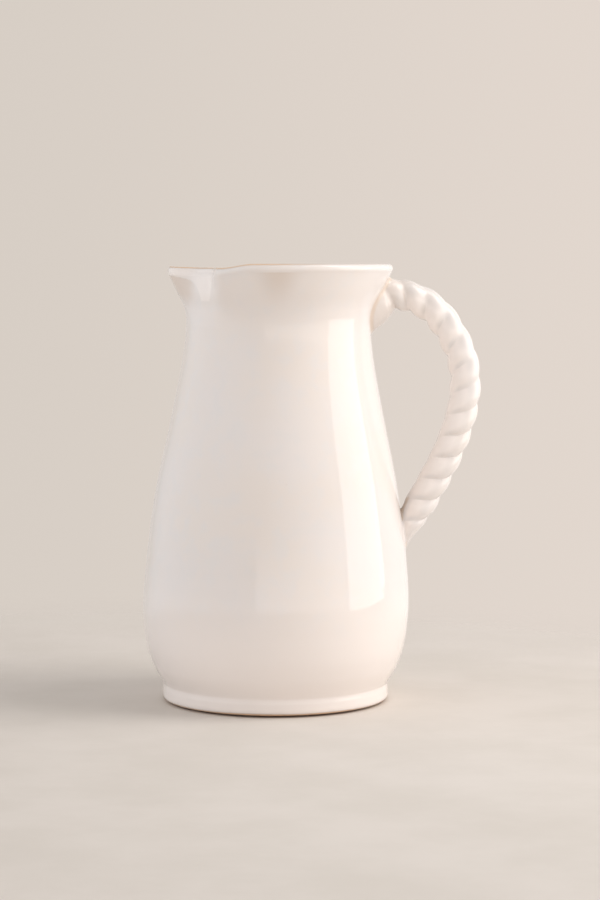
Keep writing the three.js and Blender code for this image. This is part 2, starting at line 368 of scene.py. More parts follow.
def pot_normal(at, bearing):
    ahead = pot(np.minimum(at + NUDGE, SECTION_LENGTH), bearing)
    behind = pot(np.maximum(at - NUDGE, 0), bearing)
    across = pot(at, bearing + POT_TURN) - pot(at, bearing - POT_TURN)
    normal = np.cross(ahead - behind, across)
    # On the axis nothing lies across: the floor faces up there, and the underside down.
    axis = np.linalg.norm(normal, axis=-1) < 1e-7
    normal[axis] = np.where(at[axis] > SECTION_LENGTH / 2, 1, -1)[:, None] * np.array([0, 0, 1])
    return unit(normal)


# ---------------------------------------------------------------- mesh building


class Skin:
    """Collects grids of points with their normals, and welds them into one closed mesh.

    A grid's marks say how thick the glaze lies at its points, and where light or shade is painted into
    the glaze's colour.
    """

    def __init__(self):
        self.points, self.normals, self.faces, self.marks, self.grids = [], [], [], [], []
        self.count = 0

    def grid(self, points, normals, mark=None):
        rows, columns = points.shape[:2]
        first = self.count + np.arange(rows * columns).reshape(rows, columns)
        a, b, c, d = first[:-1, :-1], first[:-1, 1:], first[1:, 1:], first[1:, :-1]
        faces = np.stack([a, b, c, d], -1).reshape(-1, 4)
        flat = points.reshape(-1, 3)
        corners = flat[faces - self.count]
        facing = np.cross(corners[:, 2] - corners[:, 0], corners[:, 3] - corners[:, 1])
        wanted = normals.reshape(-1, 3)[faces - self.count].mean(1)
        if (facing * wanted).sum() < 0:
            faces = faces[:, ::-1]
        self.points.append(flat)
        self.normals.append(normals.reshape(-1, 3))
        self.faces.append(faces)
        self.grids.append(np.full(len(faces), len(self.grids)))
        self.marks.append(np.zeros(len(flat)) if mark is None else mark.reshape(-1))
        self.count += len(flat)

    def ruled(self, first, last, towards):
        """A hidden face between two rows of points, facing roughly towards a direction."""
        points = np.stack([first, last])
        normals = np.broadcast_to(np.asarray(towards, float), points.shape)
        self.grid(points, normals)

    def made(self, name, material):
        points = np.vstack(self.points)
        normals = np.vstack(self.normals)
        marks = np.concatenate(self.marks)
        faces = np.vstack(self.faces)
        grids = np.concatenate(self.grids)
        keys = np.round(points / WELD).astype(np.int64)
        _, kept, same = np.unique(keys, axis=0, return_index=True, return_inverse=True)
        same = same.reshape(-1)
        polygons, corner_normals, corner_grids = [], [], []
        for face, grid in zip(faces.tolist(), grids.tolist()):
            corners = []
            for corner in face:
                if same[corner] not in [same[c] for c in corners]:
                    corners.append(corner)
            if len(corners) > 2:
                polygons.append([int(same[c]) for c in corners])
                corner_normals.extend(corners)
                corner_grids.extend([grid] * len(corners))
        mesh = bpy.data.meshes.new(name)
        mesh.from_pydata((points[kept] * UNIT).tolist(), [], polygons)
        attribute = mesh.attributes.new("glaze_and_painted_light", "FLOAT", "POINT")
        attribute.data.foreach_set("value", marks[kept].astype(np.float32))
        mesh.polygons.foreach_set("use_smooth", [True] * len(mesh.polygons))
        # An edge where two grids meet is sharp, so that each keeps its own normals there.
        edges = np.empty(len(mesh.loops), np.int32)
        mesh.loops.foreach_get("edge_index", edges)
        lowest, highest = np.full(len(mesh.edges), len(self.grids)), np.zeros(len(mesh.edges), int)
        np.minimum.at(lowest, edges, corner_grids)
        np.maximum.at(highest, edges, corner_grids)
        mesh.edges.foreach_set("use_edge_sharp", lowest != highest)
        mesh.normals_split_custom_set(unit(normals[corner_normals]).tolist())
        mesh.materials.append(material)
        piece = bpy.data.objects.new(name, mesh)
        bpy.context.scene.collection.objects.link(piece)
        return piece


def shown(piece, slot, *nodes):
    """Puts a piece in place of its CAD nodes."""
    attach(piece, "root")
    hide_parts(*nodes)
    return piece


# ---------------------------------------------------------------- materials


class Nodes:
    """Adds nodes to a material or the world and links them."""

    def __init__(self, tree, coordinates="Object"):
        self.tree = tree
        self.place = self.add("ShaderNodeTexCoord").outputs[coordinates]

    def add(self, kind, **settings):
        node = self.tree.nodes.new(kind)
        for key, value in settings.items():
            setattr(node, key, value)
        return node

    def fill(self, socket, value):
        """Links a socket to another node's output, or sets it to a number or a colour."""
        if isinstance(value, tuple):
            socket.default_value = (*value, 1)
        elif isinstance(value, (int, float)):
            socket.default_value = value
        else:
            self.tree.links.new(value, socket)

    def noise(self, size_mm, detail, roughness=0.5):
        node = self.add("ShaderNodeTexNoise")
        self.fill(node.inputs["Vector"], self.place)
        node.inputs["Scale"].default_value = 1 / (size_mm * UNIT)
        node.inputs["Detail"].default_value = detail
        node.inputs["Roughness"].default_value = roughness
        return node.outputs["Fac"]

    def mix(self, factor, first, second):
        node = self.add("ShaderNodeMix", data_type="RGBA")
        for place, value in ((0, factor), (6, first), (7, second)):
            self.fill(node.inputs[place], value)
        return node.outputs[2]

    def maths(self, operation, first, second):
        node = self.add("ShaderNodeMath", operation=operation)
        self.fill(node.inputs[0], first)
        self.fill(node.inputs[1], second)
        return node.outputs[0]

    def between(self, value, low, high):
        """0 below one value, 1 above another and smooth between them."""
        node = self.add("ShaderNodeMapRange", interpolation_type="SMOOTHSTEP")
        self.fill(node.inputs["Value"], value)
        node.inputs["From Min"].default_value = low
        node.inputs["From Max"].default_value = high
        return node.outputs["Result"]

    def bump(self, height, distance_mm, after=None):
        node = self.add("ShaderNodeBump")
        node.inputs["Strength"].default_value = 1
        node.inputs["Distance"].default_value = distance_mm * UNIT
        self.tree.links.new(height, node.inputs["Height"])
        if after is not None:
            self.tree.links.new(after, node.inputs["Normal"])
        return node.outputs["Normal"]


def linear(red, green, blue):
    """A display colour, 0 to 255, as the shader wants it."""

    def one(value):
        c = value / 255
        return c / 12.92 if c <= 0.04045 else ((c + 0.055) / 1.055) ** 2.4

    return one(red), one(green), one(blue)


# The glaze and the clay under it.
GLAZE_WHITE = linear(225, 219, 216)
GLAZE_POOLED = linear(222, 218, 216)
GLAZE_WARM = linear(226, 218, 212)
GLAZE_PAINTED_LIGHT = linear(241, 233, 228)  # painted light: the paler tone that marks below zero paint in
GLAZE_THIN_AND_SHADE = linear(208, 192, 178)  # where the clay's warmth shows through thin glaze, and painted shade
GLAZE_BROKEN_AND_CREVICE_SHADE = linear(220, 186, 154)  # where it has run thinnest, and painted shade in the handle's crevice
SPECK = linear(168, 128, 96)
BARE_CLAY = linear(190, 146, 106)
DAMP_CLAY = linear(150, 108, 76)
GLOSS = (0.035, 0.065)  # the glaze's roughness, least and most
CLAY_ROUGHNESS = 0.85


def new_material(name):
    material = bpy.data.materials.new(name)
    material.use_nodes = True
    return material, Nodes(material.node_tree), material.node_tree.nodes["Principled BSDF"].inputs


def glaze():
    """Glossy tin-white glaze, a little uneven, that breaks to orange where it runs thin, with light and
    shade painted into its colour by the marks.
    """
    material, n, shader = new_material("white_glaze")

    # Clouds in the white, and a few faint specks.
    colour = n.mix(n.between(n.noise(60, 3), 0.35, 0.65), GLAZE_WHITE, GLAZE_WARM)
    pooled = n.maths("MULTIPLY", n.between(n.noise(9, 4), 0.45, 0.7), 0.6)
    colour = n.mix(pooled, colour, GLAZE_POOLED)
    specks = n.maths("MULTIPLY", n.between(n.noise(1.5, 1), 0.83, 0.86), 0.3)
    colour = n.mix(specks, colour, SPECK)

    # Thin glaze is warm, and orange with a ragged edge where it is thinnest; marks above zero also paint
    # shade in these warm tones. Marks below zero paint light as a paler tone.
    mark = n.add("ShaderNodeAttribute", attribute_name="glaze_and_painted_light").outputs["Fac"]
    colour = n.mix(n.between(mark, 0, 0.5), colour, GLAZE_THIN_AND_SHADE)
    ragged = n.maths("ADD", mark, n.maths("MULTIPLY", n.noise(4, 3), 0.5))
    colour = n.mix(n.between(ragged, 0.7, 1.2), colour, GLAZE_BROKEN_AND_CREVICE_SHADE)
    colour = n.mix(n.between(mark, 0, -1), colour, GLAZE_PAINTED_LIGHT)

    bare = n.between(mark, 0.6 * BARE, 0.8 * BARE)
    clay = n.mix(n.between(n.noise(1.2, 4), 0.35, 0.65), BARE_CLAY, DAMP_CLAY)
    n.fill(shader["Base Color"], n.mix(bare, colour, clay))

    least, most = ((value,) * 3 for value in GLOSS)
    gloss = n.mix(n.between(n.noise(14, 2), 0.3, 0.7), least, most)
    n.fill(shader["Roughness"], n.mix(bare, gloss, (CLAY_ROUGHNESS,) * 3))
    shader["IOR"].default_value = 1.47

    # Orange peel, and the finest grain on top of it.
    peel = n.bump(n.noise(6, 1), 0.02)
    n.fill(shader["Normal"], n.bump(n.noise(0.8, 2), 0.002, peel))
    return material


# ---------------------------------------------------------------- how thick the glaze lies, and painted light and shade

# Every point has a mark: 0 for even glaze; up to 1 where it is warmer, for thin glaze on the rim and
# foot and for painted shade elsewhere; down to -1 for painted light, paler; and BARE on unglazed clay.
BARE = 2

# Painted highlight: paler in the hollow on each side of the beak, between two bearings (degrees).
HOLLOW_PAINTED_HIGHLIGHT = -0.55
HOLLOW_BOTTOM = 233
HOLLOW_STARTS = 35  # at its bottom, and nearer to the lip's tip by the next two further up
HOLLOW_OPENS = 14
HOLLOW_REACHES = 12  # only close under the rim
HOLLOW_ENDS = 44
HOLLOW_WIDENS = 4.5
HOLLOW_EDGES = (1.5, 1.2)

# Painted light from the floor: paler on the lower belly, fading out over these heights.
BELLY_PAINTED_LIGHT = -0.8
BELLY_HEIGHTS = (25, 100)

# Painted shade: warmer and darker on the overhang under the mouth, halfway between lip and handle, and
# on the beak.
OVERHANG_PAINTED_SHADE = 0.27
OVERHANG_BEARING = 90
OVERHANG_WIDTH = 14
OVERHANG_HEIGHTS = (222, 248)
BEAK_PAINTED_SHADE = 0.24
BEAK_EDGE = (20, 36)
BEAK_HEIGHTS = (228, 240)

# Painted light: slightly paler in the waist under the mouth, except by the beak and the overhang's
# painted shade.
NECK_PAINTED_LIGHT = -0.24
NECK_RISES = (218, 233)
NECK_FADES = (246, 251)
NECK_CLEAR = 22
NECK_STARTS = (40, 48)

# Thin glaze along the rim's outer corner: strong round the lip and weaker behind these bearings.
RIM_PLACE = 0.45  # share of the way over the bead
RIM_WIDTH = 1.2
RIM_FADES = (80, 120)
RIM_LEAST = 0.25

# The foot: bare under the line where the glaze stops, and painted light above it, which makes the foot
# band paler.
GLAZE_LINE = 1.5
GLAZE_LINE_WIDTH = 0.7
GLAZE_LINE_WAVES = ((0.15, 3), (0.1, 8))  # how high, and how many round the foot
BARE_BELOW = 0.45  # under the glaze line
FOOT_PAINTED_LIGHT = (2, 3)

# The handle: "in" runs from -1 on its outer side to 1 on its inner side.
ROOT_MARK = 0.12  # a warmer, darker tone on the upper root and where the rope starts
ROOT_FADES = (-2, 12)
INNER_IN = (-0.55, 0.25)  # painted light on the inner side: paler, standing in for light thrown back by the belly
CREVICE_PAINTED_SHADE = 0.5  # painted shade inside, where the rope comes down to the belly
CREVICE_IN = (0.4, 1)
CREVICE_LENGTH = 10
VALLEY_PAINTED_SHADE = 0.27  # painted shade in the grooves, on one flank and between the outer and the inner side
VALLEY_FLANK = (-0.3, 0.5)
VALLEY_STARTS = (-8, 4)
VALLEY_ENDS = (6, 14)
VALLEY_OUT = (0, 0.6)
VALLEY_IN = (0.4, 0.9)
VALLEY_LOST_IN = 0.7
CREASE_PAINTED_SHADE = 0.35  # painted shade round the roots, in the crease against the wall


def height_and_degrees(at, bearing):
    """Height on the section, and degrees from the spout's centre line."""
    return np.interp(at, section_at, section[:, 0]), np.abs(np.degrees(bearing))


def painted_light(at, bearing):
    """Painted light on the outside: a painted highlight in the hollows by the spout, and a paler neck
    and lower belly.
    """
    z, degrees = height_and_degrees(at, bearing)
    up = np.clip((z - HOLLOW_BOTTOM) / (SEAM_HEIGHT - HOLLOW_BOTTOM), 0, 1)
    starts = HOLLOW_STARTS - HOLLOW_OPENS * up**2 - HOLLOW_REACHES * up**12
    ends = HOLLOW_ENDS + HOLLOW_WIDENS * up
    # Painted highlight in the hollows by the beak.
    hollow_highlight = smoothstep(degrees, starts - HOLLOW_EDGES[0], starts + HOLLOW_EDGES[0])
    hollow_highlight = hollow_highlight * (1 - smoothstep(degrees, ends - HOLLOW_EDGES[1], ends + HOLLOW_EDGES[1]))
    hollow_highlight = hollow_highlight * smoothstep(up, 0, 0.12)
    # Painted light on the neck.
    neck_light = smoothstep(z, *NECK_RISES) * (1 - smoothstep(z, *NECK_FADES))
    neck_light = neck_light * smoothstep(degrees, *NECK_STARTS)
    neck_light = neck_light * (1 - np.exp(-(((degrees - OVERHANG_BEARING) / NECK_CLEAR) ** 2)))
    # Painted light on the lower belly.
    belly_light = 1 - smoothstep(z, *BELLY_HEIGHTS)
    return HOLLOW_PAINTED_HIGHLIGHT * hollow_highlight + NECK_PAINTED_LIGHT * neck_light + BELLY_PAINTED_LIGHT * belly_light


def painted_shade(at, bearing):
    """Painted shade on the overhang under the mouth and on the beak."""
    z, degrees = height_and_degrees(at, bearing)
    # Painted shade on the overhang.
    overhang_shade = np.exp(-(((degrees - OVERHANG_BEARING) / OVERHANG_WIDTH) ** 2)) * smoothstep(z, *OVERHANG_HEIGHTS)
    # Painted shade on the beak.
    beak = (1 - smoothstep(degrees, *BEAK_EDGE)) * smoothstep(z, *BEAK_HEIGHTS)
    return OVERHANG_PAINTED_SHADE * overhang_shade + BEAK_PAINTED_SHADE * beak


def body_painted_light_and_shade(at, bearing):
    # Painted light and painted shade on the outside of the pot.
    return painted_light(at, bearing) + painted_shade(at, bearing)


def rim_glaze_and_painted_light(at, bearing):
    """Thin glaze on the rim's outer corner, most of all round the lip, and the wall's painted light
    below it.
    """
    corner = AT_OUTER_SEAM + RIM_PLACE * (AT_INNER_SEAM - AT_OUTER_SEAM)
    near = np.exp(-(((at - corner) / RIM_WIDTH) ** 2))
    _, degrees = height_and_degrees(at, bearing)
    near = near * (RIM_LEAST + (1 - RIM_LEAST) * (1 - smoothstep(degrees, *RIM_FADES)))
    return near + (1 - near) * painted_light(at, bearing) * (at < AT_TOP)


def foot_glaze_and_painted_light(at, bearing):
    """The foot's lower edge, where the glaze stops, the bare clay under it, and painted light above it.
    """
    z, _ = height_and_degrees(at, bearing)
    for high, count in GLAZE_LINE_WAVES:
        z = z + high * np.sin(count * bearing)
    thin = np.exp(-(((z - GLAZE_LINE) / GLAZE_LINE_WIDTH) ** 2))
    # Above the glaze line the foot is painted paler: painted light.
    glazed = thin - (1 - thin) * smoothstep(z, *FOOT_PAINTED_LIGHT)
    return np.where(z < GLAZE_LINE - BARE_BELOW, BARE, glazed)


def rope_painted_light_and_shade(at, angle):
    """Painted shade in the grooves and in the crevice by the belly, painted light on the handle's inner
    side, and a warmer tone on the upper root.
    """
    inwards = -np.cos(angle)
    along = smoothstep(at, ROPE_FROM + ROOT_FADES[0], ROPE_FROM + ROOT_FADES[1])
    # Painted light on the inner side.
    inner = smoothstep(inwards, *INNER_IN) * along
    # Painted shade in the crevice by the belly.
    crevice_shade = smoothstep(inwards, *CREVICE_IN) * smoothstep(at, ROPE_TO - CREVICE_LENGTH, ROPE_TO)
    turned = local_angle(at, angle)
    # Painted shade in the grooves.
    valley_shade = np.sin(turned) ** 4 * smoothstep(-np.sin(2 * turned), *VALLEY_FLANK)
    valley_shade = valley_shade * smoothstep(at, ROPE_FROM + VALLEY_STARTS[0], ROPE_FROM + VALLEY_STARTS[1])
    valley_shade = valley_shade * (1 - smoothstep(at, ROPE_TO + VALLEY_ENDS[0], ROPE_TO + VALLEY_ENDS[1]))
    valley_shade = valley_shade * (1 - smoothstep(-inwards, *VALLEY_OUT))
    valley_shade = valley_shade * (1 - VALLEY_LOST_IN * smoothstep(inwards, *VALLEY_IN))
    thin = ROOT_MARK * (1 - along) + VALLEY_PAINTED_SHADE * valley_shade + CREVICE_PAINTED_SHADE * crevice_shade
    return thin - inner * (1 - valley_shade) * (1 - crevice_shade)


# ---------------------------------------------------------------- pieces of the pot

white = glaze()
bearings = np.linspace(-math.pi, math.pi, COLUMNS + 1)
lip_bearings = bearings[np.abs(np.degrees(bearings)) <= LIP_HALF_ANGLE + 1e-6]


def tongue_height(bearing):
    """Height of the edge of the tongue of wall that makes the pouring lip."""
    share = np.minimum(np.abs(np.degrees(bearing)) / LIP_HALF_ANGLE, 1)
    return LIP_BOTTOM + (SEAM_HEIGHT - LIP_BOTTOM) * share**TONGUE_POWER


def patch(skin, start, end, around, spacing, mark=None):
    """A stretch of the pot's surface between two places along its section."""
    low, high = (np.broadcast_to(np.asarray(v, float), around.shape) for v in (start, end))
    at = low + (high - low) * spacing[:, None]
    bearing = np.broadcast_to(around, at.shape)
    points = pot(at, bearing)
    skin.grid(points, pot_normal(at, bearing), None if mark is None else mark(at, bearing))
    return points


def radial(bearing):
    """Straight outwards, round the pot."""
    return np.stack([-np.cos(bearing), -np.sin(bearing), np.zeros_like(bearing)], -1)


def build_body():
    """The thrown wall and floor, less the tongue of the lip and the rim's bead."""
    skin = Skin()
    edge = tongue_height(bearings)
    outer = patch(skin, AT_CREASE, at_outside(edge), bearings, two_ended(WALL_ROWS), body_painted_light_and_shade)
    inner = patch(skin, at_inside(edge), AT_FLOOR_CORNER, bearings, two_ended(INSIDE_ROWS))
    patch(skin, AT_FLOOR_CORNER, SECTION_LENGTH, bearings, np.linspace(0, 1, FLOOR_ROWS))
    skin.ruled(outer[-1], inner[0], (0, 0, 1))
    under = patch(skin, 0, AT_SOCKET, bearings, np.linspace(0, 1, UNDERSIDE_ROWS))
    ledge = under[-1] + [0, 0, FOOT_HEIGHT - UNDERSIDE_RECESS]
    skin.ruled(under[-1], ledge, radial(bearings))
    skin.ruled(ledge, outer[0], (0, 0, -1))
    return shown(skin.made("body_shell", white), "glaze_white", "body")


def build_lip():
    """The tongue of wall that was worked into the spout."""
    skin = Skin()
    edge = tongue_height(lip_bearings)
    rows = np.linspace(0, 1, LIP_ROWS)
    outer = patch(skin, at_outside(edge), AT_OUTER_SEAM, lip_bearings, rows, body_painted_light_and_shade)
    inner = patch(skin, AT_INNER_SEAM, at_inside(edge), lip_bearings, rows)
    skin.ruled(outer[0], inner[-1], (0, 0, -1))
    skin.ruled(outer[-1], inner[0], (0, 0, 1))
    return shown(skin.made("spout", white), "glaze_white", "pouring_lip")


def build_bead():
    """The rounded rim, over the mouth and the lip."""
    skin = Skin()
    rows = np.linspace(0, 1, BEAD_ROWS)
    points = patch(skin, AT_OUTER_SEAM, AT_INNER_SEAM, bearings, rows, rim_glaze_and_painted_light)
    skin.ruled(points[0], points[-1], (0, 0, -1))
    return shown(skin.made("rim_bead", white), "glaze_rim", "mouth_bead")


def build_foot():
    """The plinth ring, whose hidden side and top lie against the body."""
    skin = Skin()
    rows = np.linspace(0, 1, FOOT_ROWS)
    points = patch(skin, AT_SOCKET, AT_CREASE, bearings, rows, foot_glaze_and_painted_light)
    ledge = points[0] + [0, 0, FOOT_HEIGHT - UNDERSIDE_RECESS]
    skin.ruled(points[0], ledge, -radial(bearings))
    skin.ruled(ledge, points[-1], (0, 0, 1))
    return shown(skin.made("foot", white), "glaze_foot", "foot_ring")


# ---------------------------------------------------------------- the handle


def centre_line():
    """The handle's centre line, x and z, through its stations (centripetal Catmull-Rom)."""
    p = np.array([(x, z) for x, z, _, _ in HANDLE], float)
    p = np.vstack([2 * p[0] - p[1], p, 2 * p[-1] - p[-2]])
    spans = []
    for i in range(1, len(p) - 2):
        w = [np.linalg.norm(p[i + k] - p[i + k - 1]) ** 0.5 for k in range(3)]
        a = (p[i] - p[i - 1]) / w[0]
        b = (p[i + 1] - p[i]) / w[1]
        c = (p[i + 2] - p[i + 1]) / w[2]
        leave = (a - (p[i + 1] - p[i - 1]) / (w[0] + w[1]) + b) * w[1]
        arrive = (b - (p[i + 2] - p[i]) / (w[1] + w[2]) + c) * w[1]
        spans.append(span(p[i], p[i + 1], leave, arrive, SPAN_STEPS))
    return np.vstack([*spans, p[-2:-1]])


line = centre_line()
line_at = lengths(line)
station_at = line_at[::SPAN_STEPS]
fine_at = np.arange(0, line_at[-1], FINE)
fine_line = np.stack([np.interp(fine_at, line_at, line[:, k]) for k in range(2)], 1)
fine_tangent = unit(np.gradient(fine_line, axis=0))


def eased(values, width):
    """Values given at the stations, joined by lines along the handle and then smoothed."""
    plain = np.interp(fine_at, station_at, values)
    reach = int(3 * width / FINE)
    kernel = np.exp(-0.5 * (np.arange(-reach, reach + 1) * FINE / width) ** 2)
    return np.convolve(np.pad(plain, reach, "edge"), kernel / kernel.sum(), "valid")


half_height = eased([h for _, _, h, _ in HANDLE], STATION_EASE)
half_width = eased([w for _, _, _, w in HANDLE], STATION_EASE)
ROPE_FROM, ROPE_TO = station_at[UPPER_STATION], station_at[LOWER_STATION]

loosened = smoothstep(fine_at, ROPE_FROM, ROPE_FROM + LAY_LOOSENS_OVER)
lay = LAY_AT_TOP + (LAY_BELOW - LAY_AT_TOP) * loosened
turned_by = np.cumsum(2 * math.pi * FINE / lay)
turned_by += math.radians(TWIST_START) - np.interp(ROPE_FROM, fine_at, turned_by)


def twist(at):
    """How far the two coils have turned round each other (radians)."""
    return np.interp(at, fine_at, turned_by)


def local_angle(at, angle):
    """The angle round the handle as counted on the twisted coils, whose grooves are at +-90."""
    return angle - twist(at) + GROOVE_LEAN * np.sin(2 * angle)


def angle_of(at, local):
    """The angle round the handle, at a place along it, of a point on the twisted coils."""
    wanted = local + twist(at)
    angle = wanted
    for _ in range(12):
        angle = wanted - GROOVE_LEAN * np.sin(2 * angle)
    return angle


def handle(at, angle):
    """Points on the handle, for distances along it and angles round it (0 faces away)."""
    centre = [np.interp(at, fine_at, fine_line[:, k]) for k in range(2)]
    tangent = [np.interp(at, fine_at, fine_tangent[:, k]) for k in range(2)]
    local = local_angle(at, angle)
    down = smoothstep((at - ROPE_FROM) / (ROPE_TO - ROPE_FROM), *GROOVE_SHARPENS)
    soft = SOFT_GROOVE + (SHARP_GROOVE - SOFT_GROOVE) * down
    floor = soft**0.5
    crest = ((np.cos(local) ** 2 + soft**2) ** 0.25 - floor) / ((1 + soft**2) ** 0.25 - floor)
    depth = GROOVE_DEPTH[0] + (GROOVE_DEPTH[1] - GROOVE_DEPTH[0]) * down
    depth = depth * smoothstep(at, ROPE_FROM + GROOVE_STARTS[0], ROPE_FROM + GROOVE_STARTS[1])
    depth = depth * (1 - smoothstep(at, ROPE_TO + GROOVE_ENDS[0], ROPE_TO + GROOVE_ENDS[1]))
    smoothing = INNER_SMOOTHING[0] + (INNER_SMOOTHING[1] - INNER_SMOOTHING[0]) * down
    depth = depth * (1 - smoothing * smoothstep(-np.cos(angle), *INNER_TURN))
    depth = depth * (1 - OUTER_SMOOTHING * (1 - down) * smoothstep(np.cos(angle), *OUTER_TURN))
    shrink = 1 - depth * (1 - crest) / ROPE_RADIUS
    out = np.interp(at, fine_at, half_height) * shrink * np.cos(angle)
    across = np.interp(at, fine_at, half_width) * shrink * np.sin(angle)
    return np.stack([centre[0] - tangent[1] * out, -across, centre[1] + tangent[0] * out], -1)


def handle_normal(at, angle):
    along = handle(at + NUDGE, angle) - handle(at - NUDGE, angle)
    round_it = handle(at, angle + ROPE_TURN) - handle(at, angle - ROPE_TURN)
    return unit(np.cross(round_it, along))


def build_coil(name, phase, node):
    """One of the two coils, half a turn apart."""
    skin = Skin()
    at = np.linspace(ROPE_FROM, ROPE_TO, int((ROPE_TO - ROPE_FROM) / ROPE_STEP))[:, None]
    local = np.linspace(-math.pi / 2, math.pi / 2, COIL_COLUMNS + 1)[None, :]
    angle = angle_of(at, local + phase)
    at = np.broadcast_to(at, angle.shape)
    points = handle(at, angle)
    normals = handle_normal(at, angle)
    sign = np.sign((normals * (points - points.mean(1, keepdims=True))).sum())
    skin.grid(points, normals * sign, rope_painted_light_and_shade(at, angle))
    # The hidden side against the other coil, and both ends.
    inwards = points[:, [0, -1]].mean(1) - points[:, COIL_COLUMNS // 2]
    skin.grid(points[:, [-1, 0]], np.repeat(unit(inwards)[:, None], 2, 1))
    for row, way in ((0, -1), (-1, 1)):
        loop = np.vstack([points[row], points[row][:1]])
        middle = np.broadcast_to(points[row].mean(0), loop.shape)
        step = (points[1] - points[0]).mean(0) if row == 0 else (points[-1] - points[-2]).mean(0)
        skin.ruled(loop, middle, way * unit(step))
    return shown(skin.made(name, white), "glaze_white", node)


def wall_gap(points):
    """How far points stand off the outside of the wall, and the wall's normal there."""
    x, y, z = points[..., 0], points[..., 1], points[..., 2]
    away = np.stack([x - drift(z), y], -1)
    bearing = np.arctan2(-away[..., 1], -away[..., 0])
    radius = wall_radius(z) - hand_of_thrower(z, bearing)
    slope = wall_radius(z + 0.5) - wall_radius(z - 0.5)
    level = 1 / np.sqrt(1 + slope**2)
    gap = (np.linalg.norm(away, axis=-1) - radius) * level
    away = unit(away) * level[..., None]
    return gap, np.concatenate([away, (-slope * level)[..., None]], -1)


def build_root(name, node, joint, into, fillet):
    """A root of the handle, from the rope's end to a soft fillet on the pot's wall."""
    columns = 2 * COIL_COLUMNS
    angle = angle_of(joint, np.linspace(0, 2 * math.pi, columns + 1) + math.pi / 2)
    reach = np.arange(0, abs(into - joint), FINE) * np.sign(into - joint) + joint
    at_grid, angle_grid = np.meshgrid(reach, angle, indexing="ij")
    gap, _ = wall_gap(handle(at_grid, angle_grid))

    def where(height):
        """How far along each column the handle stands that high off the wall."""
        below = gap < height
        first = np.argmax(below, axis=0)
        before = np.maximum(first - 1, 0)
        pick = np.arange(columns + 1)
        g0, g1 = gap[before, pick], gap[first, pick]
        share = np.clip((g0 - height) / np.where(g0 == g1, 1, g0 - g1), 0, 1)
        return reach[before] + (reach[first] - reach[before]) * share

    start = where(fillet)
    rows = np.linspace(0, 1, ROOT_ROWS)[:, None]
    at = joint + (start - joint) * rows
    angles = np.broadcast_to(angle, at.shape)
    points = [handle(at, angles)]
    normals = [handle_normal(at, angles)]
    marks = [rope_painted_light_and_shade(at, angles)]
    # The fillet: a quarter circle between the root's side and the wall.
    for phi in np.linspace(math.pi / 2, 0, FILLET_ROWS)[1:]:
        height = fillet * (1 - math.cos(phi))
        out = fillet * (1 - math.sin(phi))
        there = where(height)
        p = handle(there, angle)
        n = handle_normal(there, angle)
        _, wall = wall_gap(p)
        side = unit(n - (n * wall).sum(-1, keepdims=True) * wall)
        p = p + side * out
        now, wall = wall_gap(p)
        p = p + wall * (height - now)[:, None]
        points.append(p[None])
        normals.append(unit(n * math.sin(phi) + wall * math.cos(phi))[None])
        # Painted shade in the crease against the wall.
        crease_shade = CREASE_PAINTED_SHADE * math.sin(2 * phi)
        marks.append(rope_painted_light_and_shade(there, angle)[None] * (1 - crease_shade) + crease_shade)
    points, normals = np.vstack(points), np.vstack(normals)
    middle = points.mean(1, keepdims=True)
    if (normals[:10] * (points - middle)[:10]).sum() < 0:
        normals = -normals
    _, wall = wall_gap(points[-1])
    normals[-1] = wall
    points[-1] -= wall * ROOT_SINKS
    skin = Skin()
    skin.grid(points, normals, np.vstack(marks))
    # Its hidden ends: against the rope and inside the wall.
    back = points[0] - points[1]
    middle = np.broadcast_to(points[0][:-1].mean(0), points[0].shape)
    skin.ruled(points[0], middle, unit(back.mean(0)))
    sunk = points[-1][:-1].mean(0) - wall[:-1].mean(0) * ROOT_DEPTH
    skin.ruled(points[-1], np.broadcast_to(sunk, points[-1].shape), -unit(wall.mean(0)))
    return shown(skin.made(name, white), "glaze_white", node)


build_body()
build_lip()
build_bead()
build_foot()
build_coil("rope_coil_a", 0, "handle_coil_1")
build_coil("rope_coil_b", math.pi, "handle_coil_2")
build_root("upper_root", "handle_upper_root", ROPE_FROM, 0, UPPER_FILLET)
build_root("lower_root", "handle_lower_root", ROPE_TO, line_at[-1] - FINE, LOWER_FILLET)


# ---------------------------------------------------------------- floor, light and camera

# The floor, in metres.
FLOOR_COLOUR = linear(222, 215, 208)
FLOOR_MOTTLE = linear(215, 208, 200)
FLOOR_ROUGHNESS = 0.75
FLOOR_MIDDLE = (-0.1, -0.15, 0)
FLOOR_FADES = (0.32, 0.62)
FLOOR_RINGS = 40
FLOOR_TURNS = 96

BACKDROP_LEFT = linear(215, 206, 197)
BACKDROP_RIGHT = linear(226, 215, 206)

# The room's light. Directions point away from the pitcher: +X right, -Y to the camera, +Z up, and
# in build_world each part of the light fades in between two values of a direction's components.
LIGHT_BEHIND = (0.70, 0.65, 0.60)
LIGHT_IN_FRONT = (0.70, 0.65, 0.615)
LIGHT_ABOVE = (0.45, 0.43, 0.415)
LIGHT_FROM_FLOOR = (0.98, 0.90, 0.82)
GLOW_BEHIND_RIGHT = (1.02, 0.97, 0.92)
COOL_FROM_LEFT = (1.34, 1.37, 1.42)
FRONT_FILL = (2.1, 2, 1.95)
FILL_SHARE = 0.85
BEHIND_RIGHT = (0.7, 0.71, 0.05)
LEFT = (-0.99, -0.14, 0)

# Two softboxes: place, what they face, width and height in metres, radiance.
WARM_WHITE = (0.99, 0.965, 0.945)
KEY_WINDOW = ((1.0, -0.175, 0.915), (0, -0.05, 0.915), (0.77, 1.9), 2.2)
KEY_ROLL = 6  # degrees
SKYLIGHT = ((0.65, -0.12, 1.15), (0, 0, 0.1), (0.7, 0.7), 2.6)

